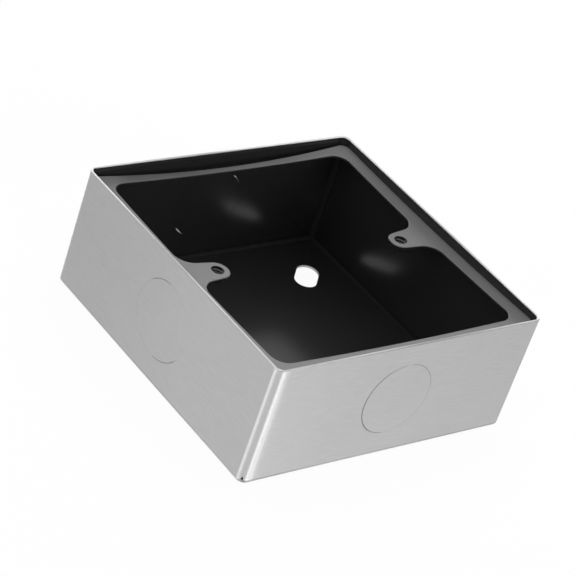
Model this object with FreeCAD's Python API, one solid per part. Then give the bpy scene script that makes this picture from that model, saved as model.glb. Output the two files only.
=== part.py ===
import FreeCAD, Part
import math
import os

from FreeCAD import Vector

# Surface-mounted wall socket box for one gang, in millimetres.
# The box lies on its back: the origin is the centre of the face that goes against the wall,
# +Z points out of the open front, and the two faceplate lugs lie along X.
# A brushed stainless shell is folded from one sheet. A black steel frame with two tapped lugs
# is welded to its side walls, just below the rim, and a brass earth pillar is riveted to the base.

# Shell
box_width = 86.0
box_height = 86.0
box_depth = 34.4
sheet = 0.7
corner_inner_radius = 1.6
bend_inner_radius = 0.3
rim_chamfer = 0.12

# Pit at each bottom corner, where the folds of the blank meet and the weld leaves a point open
pit_width = 0.8
pit_height = 1.1
pit_lift = 0.2
pit_depth = 0.45

# Knock-outs: a fine slit cut round each disc, left whole at a tie above and a tie below.
# Each stands above the middle of its wall by the lift.
knockout_radius = 10.55
knockout_slit = 0.12
knockout_tie = 1.2
knockout_lift = 0.45

# Slots in the base for the wall screws, one near each corner and turned towards it
fixing_spacing_x = 57.6
fixing_spacing_y = 52.2
fixing_slot_width = 6.4
fixing_slot_length = 10.9
fixing_slot_turn = 45.0

# Frame below the rim. Its recess is measured at the middle of a side, and its corners stand
# higher by the rise, because the plate is pressed slightly dished. It is as wide as the shell
# along X, and its two ends stay off the end walls and are hollowed between their corners.
frame_thickness = 0.7
frame_recess = 2.95
frame_rise = 0.9
frame_corner_radius = 2.3
frame_side_width = 3.9
frame_end_width = 4.4
frame_end_gap = 0.8
frame_end_hollow = 2.0
opening_corner_radius = 3.85
frame_edge_chamfer = 0.15

# Lugs, with plunged and tapped holes for the faceplate screws. Each tip is round about its hole,
# and the flanks spread from it to the root width, where they curve into the side of the frame.
lug_spacing = 60.3
lug_tip_radius = 3.3
lug_root_width = 7.6
lug_root_radius = 4.6
lug_bore_radius = 1.75
lug_bore_chamfer = 0.15
lug_collar_wall = 0.6
lug_collar_length = 2.4

# Earth pillar with its clamp screw
pillar_offset_x = 18.0
pillar_wall_gap = 4.3
pillar_radius = 3.2
pillar_height = 8.5
pillar_edge = 0.4
pillar_wire_radius = 1.5
pillar_wire_height = 3.4
pillar_spigot_radius = 2.0
pillar_spigot_gap = 0.03
earth_thread_radius = 1.5
earth_screw_gap = 0.04
earth_screw_length = 5.0
earth_head_radius = 2.7
earth_head_height = 2.0
earth_head_lift = 1.5
earth_head_chamfer = 0.3
earth_slot_width = 0.8
earth_slot_depth = 1.1
earth_slot_turn = 30.0

half_x = box_width / 2
half_y = box_height / 2
inner_x = half_x - sheet
inner_y = half_y - sheet
corner_radius = corner_inner_radius + sheet
bend_radius = bend_inner_radius + sheet
Z = Vector(0, 0, 1)


def centred_box(size_x, size_y, z_low, z_high):
    corner = Vector(-size_x / 2, -size_y / 2, z_low)
    return Part.makeBox(size_x, size_y, z_high - z_low, corner)


def upright_edges(shape):
    found = []
    for edge in shape.Edges:
        along = edge.Vertexes[-1].Point - edge.Vertexes[0].Point
        if math.hypot(along.x, along.y) < 1e-6:
            found.append(edge)
    return found


def edges_at_height(shape, height):
    return [e for e in shape.Edges if all(abs(v.Z - height) < 1e-6 for v in e.Vertexes)]


def folded_tray(size_x, size_y, z_low, z_high, upright_radius, base_radius):
    tray = centred_box(size_x, size_y, z_low, z_high)
    tray = tray.makeFillet(upright_radius, upright_edges(tray))
    return tray.makeFillet(base_radius, edges_at_height(tray, z_low))


def slot_prism(width, length, z_low, z_high, centre, angle):
    """Round-ended slot that runs along X, turned by angle and moved to centre."""
    reach = (length - width) / 2
    radius = width / 2
    top_left, top_right = Vector(-reach, radius, 0), Vector(reach, radius, 0)
    low_left, low_right = Vector(-reach, -radius, 0), Vector(reach, -radius, 0)
    edges = [
        Part.LineSegment(low_left, low_right).toShape(),
        Part.Arc(low_right, Vector(reach + radius, 0, 0), top_right).toShape(),
        Part.LineSegment(top_right, top_left).toShape(),
        Part.Arc(top_left, Vector(-reach - radius, 0, 0), low_left).toShape(),
    ]
    prism = Part.Face(Part.Wire(edges)).extrude(Z * (z_high - z_low))
    prism.rotate(Vector(0, 0, 0), Z, angle)
    prism.translate(Vector(centre[0], centre[1], z_low))
    return prism


def knockout_cutter():
    """Slit for the wall on the -Y side, standing at the origin and reaching through the sheet."""
    reach = 2 * sheet
    start = Vector(0, -reach, 0)
    inward = Vector(0, 1, 0)
    disc = Part.makeCylinder(knockout_radius + knockout_slit / 2, 2 * reach, start, inward)
    disc = disc.cut(Part.makeCylinder(knockout_radius - knockout_slit / 2, 2 * reach, start, inward))
    tie_height = 2 * (knockout_radius + knockout_slit)
    ties = Part.makeBox(knockout_tie, 2 * reach, tie_height,
                        Vector(-knockout_tie / 2, -reach, -tie_height / 2))
    return disc.cut(ties)


def pit_cutter(sign_x, sign_y):
    """Three-sided prism that reaches into the outside of one upright corner, its point upwards."""
    low = bend_radius + pit_lift
    points = [
        Vector(0, -pit_width / 2, low),
        Vector(0, pit_width / 2, low),
        Vector(0, 0, low + pit_height),
        Vector(0, -pit_width / 2, low),
    ]
    pit = Part.Face(Part.makePolygon(points)).extrude(Vector(corner_radius, 0, 0))
    pit.translate(Vector(corner_radius - pit_depth, 0, 0))
    pit.rotate(Vector(0, 0, 0), Z, math.degrees(math.atan2(sign_y, sign_x)))
    pit.translate(Vector(sign_x * (half_x - corner_radius), sign_y * (half_y - corner_radius), 0))
    return pit


def pillar_centre():
    return Vector(pillar_offset_x, -(inner_y - pillar_wall_gap - pillar_radius), 0)


def make_shell():
    outer = folded_tray(box_width, box_height, 0, box_depth, corner_radius, bend_radius)
    # The hollow runs past the rim, so that the cut leaves a clean edge.
    hollow = folded_tray(2 * inner_x, 2 * inner_y, sheet, box_depth + sheet,
                         corner_inner_radius, bend_inner_radius)
    shell = outer.cut(hollow)
    shell = shell.makeChamfer(rim_chamfer, edges_at_height(shell, box_depth))

    # Knock-outs on the two ends and on one side; the other side is plain.
    for angle, reach in ((0, half_y - sheet / 2), (180, half_y - sheet / 2), (-90, half_x - sheet / 2)):
        cutter = knockout_cutter()
        cutter.translate(Vector(0, -reach, box_depth / 2 + knockout_lift))
        cutter.rotate(Vector(0, 0, 0), Z, angle)
        shell = shell.cut(cutter)

    for sign_x in (-1, 1):
        for sign_y in (-1, 1):
            centre = (sign_x * fixing_spacing_x / 2, sign_y * fixing_spacing_y / 2)
            turn = fixing_slot_turn * sign_x * sign_y
            slot = slot_prism(fixing_slot_width, fixing_slot_length, -sheet, 2 * sheet, centre, turn)
            shell = shell.cut(slot).cut(pit_cutter(sign_x, sign_y))

    rivet_hole = Part.makeCylinder(pillar_spigot_radius, 3 * sheet, pillar_centre() - Z * sheet, Z)
    return shell.cut(rivet_hole)


def frame_outline():
    """Outer edge of the frame: straight along the side walls, hollowed along the two ends."""
    radius = frame_corner_radius
    turn = radius * (1 - math.sqrt(0.5))
    edge_x = inner_x
    edge_y = inner_y - frame_end_gap
    edges = []
    for sign in (1, -1):
        def at(x, y):
            return Vector(sign * x, sign * y, 0)
        edges += [
            Part.LineSegment(at(edge_x, radius - edge_y), at(edge_x, edge_y - radius)).toShape(),
            Part.Arc(at(edge_x, edge_y - radius), at(edge_x - turn, edge_y - turn),
                     at(edge_x - radius, edge_y)).toShape(),
            Part.Arc(at(edge_x - radius, edge_y), at(0, edge_y - frame_end_hollow),
                     at(radius - edge_x, edge_y)).toShape(),
            Part.Arc(at(radius - edge_x, edge_y), at(turn - edge_x, edge_y - turn),
                     at(-edge_x, edge_y - radius)).toShape(),
        ]
    return Part.Wire(edges)


def opening_outline():
    """Inner edge of the frame: a rounded opening with a lug reaching in from each side."""
    edge_x = inner_x - frame_side_width
    edge_y = inner_y - frame_end_width
    corner = opening_corner_radius
    corner_turn = corner * (1 - math.sqrt(0.5))
    tip_x = lug_spacing / 2
    root_x = edge_x - lug_root_radius
    root_y = lug_root_width / 2 + lug_root_radius

    # A flank is the straight line that touches the tip circle and the root circle.
    apart = math.hypot(root_x - tip_x, root_y)
    lean = math.atan2(root_y, root_x - tip_x) + math.acos((lug_tip_radius + lug_root_radius) / apart)
    flank_tip = (tip_x + lug_tip_radius * math.cos(lean), lug_tip_radius * math.sin(lean))
    flank_root = (root_x - lug_root_radius * math.cos(lean), root_y - lug_root_radius * math.sin(lean))
    halfway = (lean - math.pi) / 2
    root_middle = (root_x + lug_root_radius * math.cos(halfway), root_y + lug_root_radius * math.sin(halfway))

    edges = []
    for sign in (1, -1):
        def at(x, y):
            return Vector(sign * x, sign * y, 0)

        def mirrored(point):
            return at(-point[0], point[1])

        edges += [
            Part.Arc(at(flank_tip[0], -flank_tip[1]), at(tip_x - lug_tip_radius, 0),
                     at(*flank_tip)).toShape(),
            Part.LineSegment(at(*flank_tip), at(*flank_root)).toShape(),
            Part.Arc(at(*flank_root), at(*root_middle), at(edge_x, root_y)).toShape(),
            Part.LineSegment(at(edge_x, root_y), at(edge_x, edge_y - corner)).toShape(),
            Part.Arc(at(edge_x, edge_y - corner), at(edge_x - corner_turn, edge_y - corner_turn),
                     at(edge_x - corner, edge_y)).toShape(),
            Part.LineSegment(at(edge_x - corner, edge_y), at(corner - edge_x, edge_y)).toShape(),
            Part.Arc(at(corner - edge_x, edge_y), at(corner_turn - edge_x, edge_y - corner_turn),
                     at(-edge_x, edge_y - corner)).toShape(),
            Part.LineSegment(at(-edge_x, edge_y - corner), at(-edge_x, root_y)).toShape(),
            Part.Arc(at(-edge_x, root_y), mirrored(root_middle), mirrored(flank_root)).toShape(),
            Part.LineSegment(mirrored(flank_root), mirrored(flank_tip)).toShape(),
        ]
    return Part.Wire(edges)


# The dished plate is part of a sphere. These give its radius and its lowest height, at the middle.
dish_radius = inner_x ** 2 / (2 * frame_rise)
dish_low = box_depth - frame_recess - frame_rise


def dish_height(x, y):
    """Height of the frame's top face at a point."""
    return dish_low + dish_radius - math.sqrt(dish_radius ** 2 - x ** 2 - y ** 2)


def space_above_dish(drop):
    """Solid that fills everything above the dished face, or above that face lowered by drop."""
    reach = math.hypot(inner_x, inner_y) + sheet
    radius = dish_radius + drop
    low = dish_low - drop
    roof = box_depth + frame_recess

    def on_dish(r):
        return Vector(r, 0, low + radius - math.sqrt(radius ** 2 - r ** 2))

    profile = Part.Wire([
        Part.Arc(on_dish(0), on_dish(reach / 2), on_dish(reach)).toShape(),
        Part.LineSegment(on_dish(reach), Vector(reach, 0, roof)).toShape(),
        Part.LineSegment(Vector(reach, 0, roof), Vector(0, 0, roof)).toShape(),
        Part.LineSegment(Vector(0, 0, roof), on_dish(0)).toShape(),
    ])
    solid = Part.Face(profile).revolve(Vector(0, 0, 0), Z, 360)
    # The seam of the revolved face is turned to a corner, clear of the lugs.
    solid.rotate(Vector(0, 0, 0), Z, 45)
    return solid


def make_frame():
    plan = Part.Face(frame_outline()).cut(Part.Face(opening_outline()))
    low = dish_low - 2 * frame_thickness
    blank = plan.extrude(Z * (box_depth - low))
    blank.translate(Vector(0, 0, low))
    frame = blank.common(space_above_dish(frame_thickness)).cut(space_above_dish(0))
    frame = frame.makeChamfer(frame_edge_chamfer, [e for e in frame.Edges if is_opening_edge(e)])

    for sign in (-1, 1):
        lug_x = sign * lug_spacing / 2
        lug_top = dish_height(lug_x, 0)
        collar_low = lug_top - lug_collar_length
        collar = Part.makeCylinder(lug_bore_radius + lug_collar_wall, lug_collar_length - frame_thickness / 2,
                                   Vector(lug_x, 0, collar_low), Z)
        bore = Part.makeCylinder(lug_bore_radius, lug_collar_length + 2 * frame_thickness,
                                 Vector(lug_x, 0, collar_low - frame_thickness), Z)
        # The chamfer is carried on above the plate at the same slope, to clear its dished face.
        rise = 2 * lug_bore_chamfer
        mouth = Part.makeCone(lug_bore_radius, lug_bore_radius + rise, rise,
                              Vector(lug_x, 0, lug_top - lug_bore_chamfer), Z)
        frame = frame.fuse(collar).cut(bore).cut(mouth)
    return frame.removeSplitter()


def is_opening_edge(edge):
    """True for an edge of the top face that runs round the opening."""
    edge_x = inner_x - frame_side_width
    edge_y = inner_y - frame_end_width
    for fraction in (0.1, 0.5, 0.9):
        first, last = edge.ParameterRange
        point = edge.valueAt(first + fraction * (last - first))
        if abs(point.z - dish_height(point.x, point.y)) > frame_thickness / 4:
            return False
        if abs(point.x) > edge_x + 1e-4 or abs(point.y) > edge_y + 1e-4:
            return False
    return True


def make_earth_pillar():
    centre = pillar_centre()
    floor = centre + Z * sheet
    body = Part.makeCylinder(pillar_radius, pillar_height, floor, Z)
    body = body.makeChamfer(pillar_edge, edges_at_height(body, sheet + pillar_height))
    spigot = Part.makeCylinder(pillar_spigot_radius - pillar_spigot_gap, sheet, centre, Z)
    body = body.fuse(spigot)
    wire_low = Vector(centre.x - 2 * pillar_radius, centre.y, sheet + pillar_wire_height)
    body = body.cut(Part.makeCylinder(pillar_wire_radius, 4 * pillar_radius, wire_low, Vector(1, 0, 0)))
    thread_low = Vector(centre.x, centre.y, sheet + pillar_wire_height)
    body = body.cut(Part.makeCylinder(earth_thread_radius, pillar_height, thread_low, Z))
    return body.removeSplitter()


def make_earth_screw():
    centre = pillar_centre()
    seat = sheet + pillar_height + earth_head_lift
    shank = Part.makeCylinder(earth_thread_radius - earth_screw_gap, earth_screw_length,
                              centre + Z * (seat - earth_screw_length), Z)
    head = Part.makeCylinder(earth_head_radius, earth_head_height, centre + Z * seat, Z)
    head = head.makeChamfer(earth_head_chamfer, edges_at_height(head, seat + earth_head_height))
    slot = Part.makeBox(4 * earth_head_radius, earth_slot_width, 2 * earth_slot_depth,
                        Vector(-2 * earth_head_radius, -earth_slot_width / 2, 0))
    slot.rotate(Vector(0, 0, 0), Z, earth_slot_turn)
    slot.translate(centre + Z * (seat + earth_head_height - earth_slot_depth))
    return head.fuse(shank).cut(slot).removeSplitter()


os.makedirs("parts", exist_ok=True)
pieces = {
    "box_shell": make_shell(),
    "mounting_frame": make_frame(),
    "earth_pillar": make_earth_pillar(),
    "earth_screw": make_earth_screw(),
}
for name, shape in pieces.items():
    shape.exportStep("parts/" + name + ".step")
    print(name, "solids", len(shape.Solids), "valid", shape.isValid(), "volume", round(shape.Volume, 2))
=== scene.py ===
import math

import bpy
from mathutils import Matrix, Vector


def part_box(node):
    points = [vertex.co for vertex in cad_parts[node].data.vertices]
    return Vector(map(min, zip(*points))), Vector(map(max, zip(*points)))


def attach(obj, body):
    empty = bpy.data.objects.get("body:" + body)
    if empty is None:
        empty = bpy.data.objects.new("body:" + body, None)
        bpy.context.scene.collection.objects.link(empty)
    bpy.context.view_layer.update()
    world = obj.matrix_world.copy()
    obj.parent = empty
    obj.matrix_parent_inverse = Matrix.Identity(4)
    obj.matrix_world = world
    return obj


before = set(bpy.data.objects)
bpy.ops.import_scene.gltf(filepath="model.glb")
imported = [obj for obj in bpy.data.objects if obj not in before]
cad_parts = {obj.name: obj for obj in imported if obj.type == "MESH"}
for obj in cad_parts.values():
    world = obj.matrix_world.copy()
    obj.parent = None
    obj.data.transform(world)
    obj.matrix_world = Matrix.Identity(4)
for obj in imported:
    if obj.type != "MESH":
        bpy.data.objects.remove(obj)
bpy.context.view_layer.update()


# Folded stainless shell.
# One 0.7 mm sheet, brushed along its walls outside and sprayed black inside. The paint stops just
# short of the rim, and each wall swells a little where it leaves the folded corner that it starts at.
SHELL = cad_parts["box_shell"]
SHELL_LOW, SHELL_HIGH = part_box("box_shell")
SHEET = 0.0007
SKIN = 0.00005
INNER_FACE = SHELL_HIGH.x - SHEET
CORNER_BEND = 0.0023
FLAT_HALF = SHELL_HIGH.x - CORNER_BEND
FOOT_BEND = 0.001
RIM_CHAMFER = 0.00012
KNOCKOUT_RADIUS = 0.01055
KNOCKOUT_HEIGHT = 0.01765
KNOCKOUT_SLIT = 0.00012
SWELL_TOP = 0.1
SWELL_FOOT = 0.2
SWELL_REACH_TOP = 0.0007
SWELL_REACH_FOOT = 0.0008


class Value:
    """A shader socket in an expression: each operator adds the node that does it."""

    def __init__(self, graph, socket):
        self.graph = graph
        self.socket = socket

    def math(self, operation, *inputs):
        return self.graph.node("ShaderNodeMath", {"operation": operation}, list(inputs))

    def __add__(self, other):
        return self.math("ADD", self, other)

    def __radd__(self, other):
        return self.math("ADD", other, self)

    def __sub__(self, other):
        return self.math("SUBTRACT", self, other)

    def __rsub__(self, other):
        return self.math("SUBTRACT", other, self)

    def __mul__(self, other):
        return self.math("MULTIPLY", self, other)

    def __rmul__(self, other):
        return self.math("MULTIPLY", other, self)

    def __truediv__(self, other):
        return self.math("DIVIDE", self, other)

    def __pow__(self, other):
        return self.math("POWER", self, other)

    def __rpow__(self, other):
        return self.math("POWER", other, self)

    def __lt__(self, other):
        return self.math("LESS_THAN", self, other)

    def __gt__(self, other):
        return self.math("GREATER_THAN", self, other)

    def __abs__(self):
        return self.math("ABSOLUTE", self)

    def sign(self):
        return self.math("SIGN", self)

    def largest(self, other):
        return self.math("MAXIMUM", self, other)

    def smallest(self, other):
        return self.math("MINIMUM", self, other)

    def ramp(self, low, high):
        """0 at low and 1 at high, with a smooth step between them."""
        sockets = {"Value": self, "From Min": low, "From Max": high}
        return self.graph.node("ShaderNodeMapRange", {"interpolation_type": "SMOOTHSTEP"}, sockets)


class Finish:
    """The nodes of one material or of the world, and the way they are added."""

    def __init__(self, owner):
        owner.use_nodes = True
        self.owner = owner
        self.tree = owner.node_tree
        self.tree.nodes.clear()

    def node(self, kind, settings=None, sockets=None, output=0):
        """Adds a node, sets it up, fills its sockets with values or links, and gives one output."""
        made = self.tree.nodes.new(kind)
        for name, value in (settings or {}).items():
            setattr(made, name, value)
        filled = enumerate(sockets) if isinstance(sockets, list) else (sockets or {}).items()
        for name, value in filled:
            if isinstance(value, Value):
                self.tree.links.new(value.socket, made.inputs[name])
            else:
                made.inputs[name].default_value = value
        return Value(self, made.outputs[output]) if made.outputs else None

    def parts(self, vector):
        return [self.node("ShaderNodeSeparateXYZ", None, [vector], axis) for axis in "XYZ"]

    def place(self):
        """Object coordinates as a vector, and its three parts."""
        point = self.node("ShaderNodeTexCoord", output="Object")
        return point, self.parts(point)

    def vector(self, x, y, z):
        return self.node("ShaderNodeCombineXYZ", None, [x, y, z])

    def noise(self, point, scale, detail=2.0, roughness=0.5):
        sockets = {"Vector": point, "Scale": scale, "Detail": detail, "Roughness": roughness}
        return self.node("ShaderNodeTexNoise", None, sockets)

    def mix_colour(self, share, first, second):
        """Blends two colours. The colour sockets of a Mix node come after those of its other kinds."""
        sockets = {0: share, 6: first, 7: second}
        return self.node("ShaderNodeMix", {"data_type": "RGBA"}, sockets, 2)

    def mix_vector(self, share, first, second):
        """Blends two vectors, whose sockets come before the colours'."""
        return self.node("ShaderNodeMix", {"data_type": "VECTOR"}, {0: share, 4: first, 5: second}, 1)

    def vector_math(self, operation, *vectors):
        output = "Value" if operation in ("LENGTH", "DOT_PRODUCT") else 0
        return self.node("ShaderNodeVectorMath", {"operation": operation}, list(vectors), output)

    def bump(self, height, distance, normal=None):
        sockets = {"Height": height, "Distance": distance}
        if normal:
            sockets["Normal"] = normal
        return self.node("ShaderNodeBump", None, sockets, "Normal")

    def principled(self, sockets):
        return self.node("ShaderNodeBsdfPrincipled", None, sockets)

    def mix_shader(self, share, first, second):
        return self.node("ShaderNodeMixShader", None, [share, first, second])

    def surface(self, shader):
        kind = "World" if isinstance(self.owner, bpy.types.World) else "Material"
        self.node("ShaderNodeOutput" + kind, None, {"Surface": shader})
        return self.owner


def dress(piece, material):
    piece.data.materials.clear()
    piece.data.materials.append(material)


def outward(finish, x, y):
    """The level way out from the square inside the corner bends, and how far out the place is."""
    out_x = (abs(x) - FLAT_HALF).largest(0) * x.sign()
    out_y = (abs(y) - FLAT_HALF).largest(0) * y.sign()
    out = finish.vector(out_x, out_y, 0.0)
    return out, finish.vector_math("LENGTH", out)


def folded_normal(finish, x, y, z):
    """The direction that the folded outer skin faces, worked out from the place on it."""
    out, out_length = outward(finish, x, y)
    level = (out_length - (CORNER_BEND - FOOT_BEND)).largest(0)
    wall_x, wall_y, _ = finish.parts(finish.vector_math("NORMALIZE", out))

    # The swell leans back towards the corner, and dies away along the wall.
    past_corner = (wall_x * y - wall_y * x + FLAT_HALF).largest(0)
    low = 1 - z / SHELL_HIGH.z
    reach = SWELL_REACH_TOP + low * (SWELL_REACH_FOOT - SWELL_REACH_TOP)
    lean = (SWELL_TOP + low * (SWELL_FOOT - SWELL_TOP)) * math.e ** (0 - past_corner / reach)
    lean_x = (wall_x + lean * wall_y) * level
    lean_y = (wall_y - lean * wall_x) * level
    facing = finish.vector_math("NORMALIZE", finish.vector(lean_x, lean_y, (z - FOOT_BEND).smallest(0)))

    # The rim, the cut edges and the flat back keep the direction that their faces have.
    in_walls = (out_length > CORNER_BEND - SKIN) * (z < SHELL_HIGH.z - RIM_CHAMFER - SKIN)
    in_fold = (z < FOOT_BEND) * (level > 0)
    own = finish.node("ShaderNodeNewGeometry", output="Normal")
    return finish.mix_vector(in_walls.largest(in_fold), own, facing)


def near_slit(across, z):
    """1 beside the slit of a knock-out, for a place so far across its wall and so far up it."""
    height = z - KNOCKOUT_HEIGHT
    from_slit = abs((across * across + height * height) ** 0.5 - KNOCKOUT_RADIUS)
    return from_slit < KNOCKOUT_SLIT


PAINT = (0.0135, 0.0135, 0.0135, 1)
PAINT_SHORT = 0.00022
PAINT_GLOSS = 0.9
PAINT_ROUGHNESS = 0.22
PAINT_PEEL_SCALE = 900.0
PAINT_PEEL_DEPTH = 0.000001
DULL_PAINT = (0.023, 0.023, 0.023, 1)
DULL_PAINT_GLOSS = 0.0
DULL_PAINT_ROUGHNESS = 0.9
WALL_DULLNESS = 0.35
FOLD_INSIDE = 0.0016


def paint_cover(finish, x, y, z):
    """1 where the black paint lies: inside the box, up to a line just short of the rim."""
    _, out_length = outward(finish, x, y)
    inside = out_length < CORNER_BEND - SHEET + SKIN
    painted = inside * (z > SHEET - SKIN) * (z < SHELL_HIGH.z - PAINT_SHORT)

    # It has run through into the pits at the foot of the corner bends.
    level = (out_length - (CORNER_BEND - FOOT_BEND)).largest(0)
    below = (FOOT_BEND - z).largest(0)
    depth = FOOT_BEND - (level * level + below * below) ** 0.5
    at_corner = (abs(x) > FLAT_HALF) * (abs(y) > FLAT_HALF) * (z < 2 * CORNER_BEND)
    painted = painted.largest((depth > 2 * SKIN) * at_corner)

    # It has run into the slits round the knock-outs too, up to the outer skin.
    for across, through in ((x, y), (y, x)):
        in_sheet = (abs(through) > INNER_FACE) * (abs(through) < SHELL_HIGH.x - SKIN)
        painted = painted.largest(near_slit(across, z) * in_sheet)
    return painted


def paint_skin(finish, point, x, y, z):
    """The black paint: glossy on the base, thinner up the walls, and dull where the sheet folds."""
    fold = (INNER_FACE - FOLD_INSIDE, INNER_FACE - FOLD_INSIDE / 2)
    near_x = abs(x).ramp(*fold)
    near_y = abs(y).ramp(*fold)
    above_base = SHEET + FOLD_INSIDE / 4
    foot = 1 - z.ramp(above_base, SHEET + FOLD_INSIDE / 2)
    folded = (near_x * near_y).largest(near_x.largest(near_y) * foot)
    dullness = folded.largest(WALL_DULLNESS * (z > above_base))
    gloss = finish.principled(
        {
            "Base Color": PAINT,
            "Specular IOR Level": PAINT_GLOSS,
            "Roughness": PAINT_ROUGHNESS,
            "Normal": finish.bump(finish.noise(point, PAINT_PEEL_SCALE), PAINT_PEEL_DEPTH),
        }
    )
    dull = finish.principled(
        {
            "Base Color": DULL_PAINT,
            "Specular IOR Level": DULL_PAINT_GLOSS,
            "Roughness": DULL_PAINT_ROUGHNESS,
        }
    )
    return finish.mix_shader(dullness, gloss, dull)


# Painted shade on the bare steel: the bend round the base, one slit, the left wall and the rim.
FOOT_SHADE_BAND = (0.0001, 0.0005, 0.00095, 0.0013)
FOOT_PAINTED_SHADE = 0.2
FOOT_PAINTED_SHADE_CORNER = 0.3
SLIT_PAINTED_SHADE = 0.6
LEFT_WALL_PAINTED_SHADE = 0.09
LEFT_WALL_SHADE_RAMP = (-0.02, 0.03)
RIM_PAINTED_SHADE_LOWER = 0.3
RIM_PAINTED_SHADE_LEFT = 0.12


def steel_painted_shade(x, y, z):
    """How far the bare steel is darkened, from 0 to 1, by painted shade."""
    on_lower = y < -INNER_FACE
    on_left = x < -INNER_FACE

    # Painted shade on the bend round the base, for the dark floor that it reflects, strongest towards
    # the front corner.
    low, low_full, high_full, high = FOOT_SHADE_BAND
    in_foot_shade = z.ramp(low, low_full) * (1 - z.ramp(high_full, high))
    toward_front_corner = (0 - x).ramp(0.0, INNER_FACE) * on_lower
    foot_shade = in_foot_shade * (FOOT_PAINTED_SHADE + FOOT_PAINTED_SHADE_CORNER * toward_front_corner)

    # Painted shade beside the widest part of one slit darkens its line, and painted shade darkens the
    # left wall towards its far end.
    slit_shade = SLIT_PAINTED_SHADE * near_slit(x, z) * (0 - x).ramp(0.0, KNOCKOUT_RADIUS) * on_lower
    painted_lighting = LEFT_WALL_PAINTED_SHADE * y.ramp(*LEFT_WALL_SHADE_RAMP) * on_left

    # Painted shade darkens the rim's cut edge along the lower and left walls.
    in_rim = z > SHELL_HIGH.z - RIM_CHAMFER - SKIN
    rim = in_rim * (RIM_PAINTED_SHADE_LOWER * on_lower).largest(RIM_PAINTED_SHADE_LEFT * on_left)
    return foot_shade.largest(slit_shade).largest(painted_lighting).largest(rim)


STEEL_DARK = (0.69, 0.69, 0.69, 1)
STEEL_LIGHT = (0.81, 0.81, 0.81, 1)
STEEL_ROUGHNESS = 0.48
STEEL_GRAIN = 1.0
LEVEL_GRAIN = 0.25
BRUSH_LENGTH = 0.004
BRUSH_WIDTH = 0.00022
BRUSH_DEPTH = 0.000002
BRUSH_DETAIL = 3.0
BRUSH_FRAY = 0.6
BRUSH_SHARE = 0.75
CLOUD_SCALE = 40.0
TONE_RANGE = (0.1, 0.9)


def steel_skin(finish, point, x, y, z):
    """Brushed steel. The brush lines run level on the walls, and along X on the back."""
    on_back = z < SKIN
    per_line = 1 / BRUSH_LENGTH
    across = (on_back * y + (1 - on_back) * z) / BRUSH_WIDTH
    lines = finish.vector(x * per_line, y * (1 - on_back) * per_line, across)
    brush = finish.noise(lines, 1.0, BRUSH_DETAIL, BRUSH_FRAY)
    cloud = finish.noise(point, CLOUD_SCALE)
    tone = (BRUSH_SHARE * brush + (1 - BRUSH_SHARE) * cloud).ramp(*TONE_RANGE)
    colour = finish.mix_colour(tone, STEEL_DARK, STEEL_LIGHT)
    return finish.principled(
        {
            # The painted shade blends the steel towards the black paint colour.
            "Base Color": finish.mix_colour(steel_painted_shade(x, y, z), colour, PAINT),
            "Metallic": 1.0,
            "Roughness": STEEL_ROUGHNESS,
            "Anisotropic": STEEL_GRAIN,
            "Anisotropic Rotation": LEVEL_GRAIN,
            "Normal": finish.bump(brush, BRUSH_DEPTH, folded_normal(finish, x, y, z)),
        }
    )


def shell_finish():
    finish = Finish(bpy.data.materials.new("brushed_steel_black_inside"))
    point, (x, y, z) = finish.place()
    steel = steel_skin(finish, point, x, y, z)
    paint = paint_skin(finish, point, x, y, z)
    return finish.surface(finish.mix_shader(paint_cover(finish, x, y, z), steel, paint))


shell_material = shell_finish()
dress(SHELL, shell_material)


# Burrs in the knock-out slits.
# The punch has drawn the steel of each wall part of the way across the slit, so the slit is closed
# but for a few stretches. Angles run anticlockwise from the right, seen from outside the wall, and
# a stretch has its start, its end, how far it stands open, and how many degrees its ends take.
BURR_STEPS = 180
BURR_RECESS = 0.00001
BURR_DEPTH = 0.0003
BURR_CLEARANCE = 0.000002
TIE_HALF_ANGLE = 4
WIDE_OPEN = 0.95
OPEN_STRETCHES = {
    "lower": (
        (92, 268, 0.7, 4),
        (108, 220, 1.0, 14),
        (40, 90, 0.75, 12),
        (-5, 60, 0.5, 14),
        (-15, 20, 0.3, 10),
        (272, 375, 0.28, 4),
    ),
    "left": ((86, 140, 1.0, 10), (264, 332, 1.0, 14), (60, 300, 0.16, 4)),
    "upper": ((130, 151, 1.0, 2), (297, 318, 1.0, 2)),
}


def openness(angle, stretches):
    """How far the slit stands open there, from 0 to 1: the most that any of its stretches gives."""
    return max(
        share * min(max(min(angle - start, end - angle) / fade, 0), 1)
        for start, end, share, fade in stretches
    )


def angle_of(place):
    return math.degrees(math.atan2(place.z, place.x)) % 360


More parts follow.
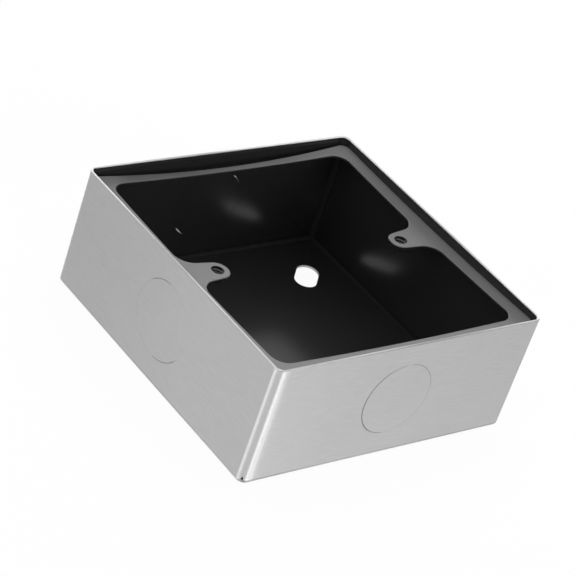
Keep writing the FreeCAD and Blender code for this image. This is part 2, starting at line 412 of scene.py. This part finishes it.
def raise_burr(name, turn, stretches):
    """A thin band inside the slit, narrower where the slit stands open and missing at the ties."""
    edge = KNOCKOUT_RADIUS + KNOCKOUT_SLIT / 2 - BURR_CLEARANCE
    width = KNOCKOUT_SLIT - 2 * BURR_CLEARANCE
    bpy.ops.object.select_all(action="DESELECT")
    bpy.ops.mesh.primitive_circle_add(vertices=BURR_STEPS, radius=edge, rotation=(math.pi / 2, 0, 0))
    band = bpy.context.object
    band.name = name
    bpy.ops.object.transform_apply(location=True, rotation=True, scale=True)

    # The circle's edge is drawn inwards to a flat band, and each place on its inner edge is set.
    bpy.ops.object.mode_set(mode="EDIT")
    bpy.ops.mesh.select_all(action="SELECT")
    bpy.ops.mesh.extrude_edges_move()
    narrowing = (edge - width) / edge
    bpy.ops.transform.resize(value=(narrowing, 1, narrowing), center_override=(0, 0, 0))
    bpy.ops.mesh.select_all(action="DESELECT")
    bpy.ops.mesh.select_mode(type="FACE")
    bpy.ops.object.mode_set(mode="OBJECT")
    for point in band.data.vertices:
        if point.co.length < KNOCKOUT_RADIUS:
            reach = width * (1 - openness(angle_of(point.co), stretches))
            point.co = point.co.normalized() * (edge - reach)

    # The ties and the wide open stretches lose their faces, and the rest gets its depth.
    for face in band.data.polygons:
        angle = angle_of(face.center)
        at_tie = abs(angle % 180 - 90) < TIE_HALF_ANGLE
        face.select = at_tie or openness(angle, stretches) > WIDE_OPEN
    bpy.ops.object.mode_set(mode="EDIT")
    bpy.ops.mesh.delete(type="FACE")
    bpy.ops.mesh.select_all(action="SELECT")
    bpy.ops.mesh.extrude_region_move(TRANSFORM_OT_translate={"value": (0, BURR_DEPTH, 0)})
    bpy.ops.mesh.select_all(action="SELECT")
    bpy.ops.mesh.normals_make_consistent(inside=False)
    bpy.ops.object.mode_set(mode="OBJECT")

    # It goes into the lower wall, and from there it is turned to its own wall.
    band.location = (0, SHELL_LOW.y + BURR_RECESS, KNOCKOUT_HEIGHT)
    bpy.ops.object.transform_apply(location=True, rotation=False, scale=False)
    band.rotation_euler.z = math.radians(turn)
    bpy.ops.object.transform_apply(location=False, rotation=True, scale=False)
    return band


for wall, turn in (("lower", 0), ("left", -90), ("upper", 180)):
    burr = raise_burr("knockout_burr_" + wall, turn, OPEN_STRETCHES[wall])
    dress(burr, shell_material)
    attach(burr, "root")


# Mounting frame.
# A steel ring pressed slightly dished, with two tapped lugs for the faceplate screws. It is
# sprayed satin black and welded at its two side edges to the shell, just below the rim.
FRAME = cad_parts["mounting_frame"]
FRAME_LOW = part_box("mounting_frame")[0]
LUG_SPACING = 0.0603
COLLAR_RADIUS = 0.0026
COLLAR_TOP = 0.0288
FRAME_PAINT = (0.092, 0.092, 0.092, 1)
FRAME_PAINT_WORN = (0.108, 0.108, 0.108, 1)
# Painted light for the bars' outer edges, and painted shade for the cut edges, collars and upper bar.
FRAME_PAINTED_LIGHT = (0.2, 0.2, 0.2, 1)
FRAME_SHADED = (0.01, 0.01, 0.01, 1)
FRAME_GLOSS = 0.68
FRAME_ROUGHNESS = 0.32
FRAME_UNEVEN = 0.06
FRAME_PEEL_SCALE = 700.0
FRAME_PEEL_DEPTH = 0.000003
PATCH_SCALE = 60.0
PATCH_RANGE = (0.3, 0.7)
EDGE_FACING = (0.3, 0.8)
UPPER_BAR_SHADE = 0.5
UPPER_BAR = (0.034, 0.038)
UPPER_BAR_START = (-0.038, -0.03)
UPPER_BAR_FADE = (-0.02, 0.035)
OUTER_PAINTED_LIGHT = 0.5
OUTER_LIGHT_REACH = (0.0385, 0.0418)


def frame_finish():
    finish = Finish(bpy.data.materials.new("matt_black_frame"))
    point, (x, y, z) = finish.place()
    patches = finish.noise(point, PATCH_SCALE)
    colour = finish.mix_colour(patches.ramp(*PATCH_RANGE), FRAME_PAINT, FRAME_PAINT_WORN)

    # Painted light along the outer edges of its upper and right bars, next to the wall, where the ring
    # would be shaded.
    painted_lighting = OUTER_PAINTED_LIGHT * x.largest(y).ramp(*OUTER_LIGHT_REACH)
    colour = finish.mix_colour(painted_lighting, colour, FRAME_PAINTED_LIGHT)

    # Painted shade darkens the cut edges, the lugs' collars and half of the upper bar.
    facing = finish.parts(finish.node("ShaderNodeNewGeometry", output="Normal"))[2]
    edges = 1 - facing.ramp(*EDGE_FACING)
    from_hole = finish.vector_math("LENGTH", finish.vector(abs(x) - LUG_SPACING / 2, y, 0.0))
    collar = (from_hole < COLLAR_RADIUS) * (z < COLLAR_TOP)
    upper_half = x.ramp(*UPPER_BAR_START) * (1 - x.ramp(*UPPER_BAR_FADE))
    upper_bar = UPPER_BAR_SHADE * y.ramp(*UPPER_BAR) * upper_half
    colour = finish.mix_colour(edges.largest(collar).largest(upper_bar), colour, FRAME_SHADED)
    shader = finish.principled(
        {
            "Base Color": colour,
            "Specular IOR Level": FRAME_GLOSS,
            "Roughness": FRAME_ROUGHNESS + FRAME_UNEVEN * patches,
            "Normal": finish.bump(finish.noise(point, FRAME_PEEL_SCALE), FRAME_PEEL_DEPTH),
        }
    )
    return finish.surface(shader)


dress(FRAME, frame_finish())


# Threads of the two lugs.
# Each lug is plunged and tapped for an M3.5 faceplate screw. The tap goes through after the
# spraying, so the crests of the turns are bright where it has scraped them.
THREAD_ROOT = 0.00178
THREAD_CREST = 0.00147
THREAD_PITCH = 0.0006
THREAD_ROOT_LAND = 0.00052
THREAD_CREST_LAND = 0.0001
THREAD_TURNS = 3
THREAD_STEPS = 48
THREAD_START = 0.0001
THREAD_MERGE = 0.000001
THREAD_BARE = (0.22, 0.22, 0.22, 1)
THREAD_BLACK = (0.008, 0.008, 0.008, 1)
THREAD_SCRAPED = (0.00001, 0.00006)
THREAD_ROUGHNESS = 0.22
THREAD_UNEVEN = 0.1
TAP_MARK_SCALE = 3000.0
TAP_MARK_DEPTH = 0.000004


def thread_finish():
    finish = Finish(bpy.data.materials.new("tapped_thread"))
    point, (x, y, _) = finish.place()
    from_axis = finish.vector_math("LENGTH", finish.vector(abs(x) - LUG_SPACING / 2, y, 0.0))
    bare, covered = THREAD_SCRAPED
    scraped = 1 - from_axis.ramp(THREAD_CREST + bare, THREAD_CREST + covered)
    marks = finish.noise(point, TAP_MARK_SCALE)
    shader = finish.principled(
        {
            "Base Color": finish.mix_colour(scraped, THREAD_BLACK, THREAD_BARE),
            "Metallic": scraped,
            "Roughness": THREAD_ROUGHNESS + THREAD_UNEVEN * marks,
            "Normal": finish.bump(marks, TAP_MARK_DEPTH),
        }
    )
    return finish.surface(shader)


def cut_thread(name, centre):
    """One thread: a ridge with a sharp crest, turned round the hole as it climbs."""
    bpy.ops.object.select_all(action="DESELECT")
    bpy.ops.mesh.primitive_plane_add(size=1, rotation=(math.pi / 2, 0, 0))
    ridge = bpy.context.object
    ridge.name = name
    bpy.ops.object.transform_apply(location=True, rotation=True, scale=True)
    for corner in ridge.data.vertices:
        at_root = corner.co.x > 0
        land = THREAD_ROOT_LAND if at_root else THREAD_CREST_LAND
        corner.co.x = THREAD_ROOT if at_root else THREAD_CREST
        corner.co.z = math.copysign(land / 2, corner.co.z)
    climb = ridge.modifiers.new("climb", "SCREW")
    climb.axis = "Z"
    climb.angle = math.tau
    climb.screw_offset = THREAD_PITCH
    climb.iterations = THREAD_TURNS
    climb.steps = THREAD_STEPS
    climb.render_steps = THREAD_STEPS
    bpy.ops.object.modifier_apply(modifier=climb.name)
    bpy.ops.object.mode_set(mode="EDIT")
    bpy.ops.mesh.select_all(action="SELECT")
    bpy.ops.mesh.remove_doubles(threshold=THREAD_MERGE)
    bpy.ops.mesh.normals_make_consistent(inside=False)
    bpy.ops.object.mode_set(mode="OBJECT")
    ridge.location = centre
    bpy.ops.object.transform_apply(location=True, rotation=False, scale=False)
    return ridge


thread_material = thread_finish()
thread_low = FRAME_LOW.z + THREAD_START
for side, sign in (("left", -1), ("right", 1)):
    thread = cut_thread("lug_thread_" + side, (sign * LUG_SPACING / 2, 0, thread_low))
    dress(thread, thread_material)
    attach(thread, "root")


# Earth pillar and clamp screw.
# A turned brass post is riveted into the base, and a slotted brass screw clamps the wire in it.
# Both show fine rings from the lathe, and tarnish in patches.
BRASS = (0.72, 0.53, 0.27, 1)
BRASS_TARNISHED = (0.5, 0.34, 0.16, 1)
BRASS_ROUGHNESS = 0.28
BRASS_UNEVEN = 0.12
LATHE_RINGS_ROUND = 200
LATHE_RINGS_UP = 9000
LATHE_RING_DEPTH = 0.000006
TARNISH_SCALE = 500.0
TARNISH_DETAIL = 3.0
TARNISH_RANGE = (0.35, 0.75)


def brass_finish():
    finish = Finish(bpy.data.materials.new("turned_brass"))
    point, (x, y, z) = finish.place()
    turned = finish.vector(x * LATHE_RINGS_ROUND, y * LATHE_RINGS_ROUND, z * LATHE_RINGS_UP)
    rings = finish.noise(turned, 1.0)
    tarnish = finish.noise(point, TARNISH_SCALE, TARNISH_DETAIL)
    shader = finish.principled(
        {
            "Base Color": finish.mix_colour(tarnish.ramp(*TARNISH_RANGE), BRASS, BRASS_TARNISHED),
            "Metallic": 1.0,
            "Roughness": BRASS_ROUGHNESS + BRASS_UNEVEN * tarnish,
            "Normal": finish.bump(rings, LATHE_RING_DEPTH),
        }
    )
    return finish.surface(shader)


brass_material = brass_finish()
for name in ("earth_pillar", "earth_screw"):
    dress(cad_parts[name], brass_material)


# Studio floor.
# A wide pale sheet under the box. Camera and reflections see it white, and it keeps a soft shadow.
FLOOR_SIZE = 8.0
FLOOR_COLOUR = (0.85, 0.85, 0.85, 1)
FLOOR_WHITE = 0.93
WHITE = (1, 1, 1, 1)


def floor_finish():
    finish = Finish(bpy.data.materials.new("pale_floor"))
    camera_ray, glossy_ray, passing_ray = [
        finish.node("ShaderNodeLightPath", output=name)
        for name in ("Is Camera Ray", "Is Glossy Ray", "Is Transmission Ray")
    ]
    seen = camera_ray.largest(glossy_ray).largest(passing_ray)
    paper = finish.node("ShaderNodeBsdfDiffuse", None, {"Color": FLOOR_COLOUR})
    white = finish.node("ShaderNodeEmission", None, {"Color": WHITE, "Strength": 1.0})
    return finish.surface(finish.mix_shader(seen * FLOOR_WHITE, paper, white))


bpy.ops.object.select_all(action="DESELECT")
bpy.ops.mesh.primitive_plane_add(size=FLOOR_SIZE, location=(0, 0, SHELL_LOW.z))
floor = bpy.context.object
floor.name = "studio_floor"
dress(floor, floor_finish())


# Studio light.
# A soft ceiling over a dim room. Low panels stand round the box: their reflections draw the two
# bright lines down the folded corner, and the one behind it brightens the rim and the frame.
# A panel's azimuth and half width are in degrees, and it fades out above its top, 1 being overhead.
ROOM = 0.35
CEILING = {"from": (0.62, 0.8), "strength": 1.0}
PANELS = (
    {"azimuth": 174, "half_width": 9, "soft": 13, "top": (0.34, 0.5), "strength": 2.4},
    {"azimuth": 222, "half_width": 50, "soft": 24, "top": (0.34, 0.5), "strength": 0.4},
    {"azimuth": 282, "half_width": 12, "soft": 14, "top": (0.34, 0.5), "strength": 3.8},
    {"azimuth": 62, "half_width": 44, "soft": 10, "top": (0.32, 0.4), "strength": 2.9},
    {"azimuth": 43, "half_width": 35, "soft": 10, "top": (0.55, 0.65), "strength": 0.5},
)


def room_light():
    room = Finish(bpy.data.worlds.new("studio_room"))
    direction = room.node("ShaderNodeTexCoord", output="Generated")
    x, y, z = room.parts(direction)
    level = room.vector_math("NORMALIZE", room.vector(x, y, 0.0))
    strength = z.ramp(*CEILING["from"]) * CEILING["strength"] + ROOM
    for panel in PANELS:
        azimuth = math.radians(panel["azimuth"])
        facing = room.vector_math("DOT_PRODUCT", level, (math.cos(azimuth), math.sin(azimuth), 0))
        inner = math.cos(math.radians(panel["half_width"]))
        outer = math.cos(math.radians(panel["half_width"] + panel["soft"]))
        shape = facing.ramp(outer, inner) * (1 - z.ramp(*panel["top"]))
        strength = shape * panel["strength"] + strength
    background = room.node("ShaderNodeBackground", None, {"Color": WHITE, "Strength": strength})
    return room.surface(background)


bpy.context.scene.world = room_light()


# Camera.
# The photograph's view: from above the near corner, with the camera rolled.
CAMERA_PLACE = (-0.37582, -0.35076, 0.33851)
CAMERA_TARGET = (0.0003, 0.00435, 0.0172)
CAMERA_ROLL = 19.317
CAMERA_LENS = 147.67
CAMERA_SENSOR = 36
CAMERA_NEAR = 0.01

camera = bpy.data.objects.new("camera", bpy.data.cameras.new("camera"))
camera.data.lens = CAMERA_LENS
camera.data.sensor_width = CAMERA_SENSOR
camera.data.clip_start = CAMERA_NEAR
aim = (Vector(CAMERA_TARGET) - Vector(CAMERA_PLACE)).to_track_quat("-Z", "Y").to_matrix().to_4x4()
roll = Matrix.Rotation(math.radians(CAMERA_ROLL), 4, "Z")
camera.matrix_world = Matrix.Translation(CAMERA_PLACE) @ aim @ roll
bpy.context.scene.collection.objects.link(camera)
bpy.context.scene.camera = camera
bpy.context.scene.view_settings.view_transform = "Standard"
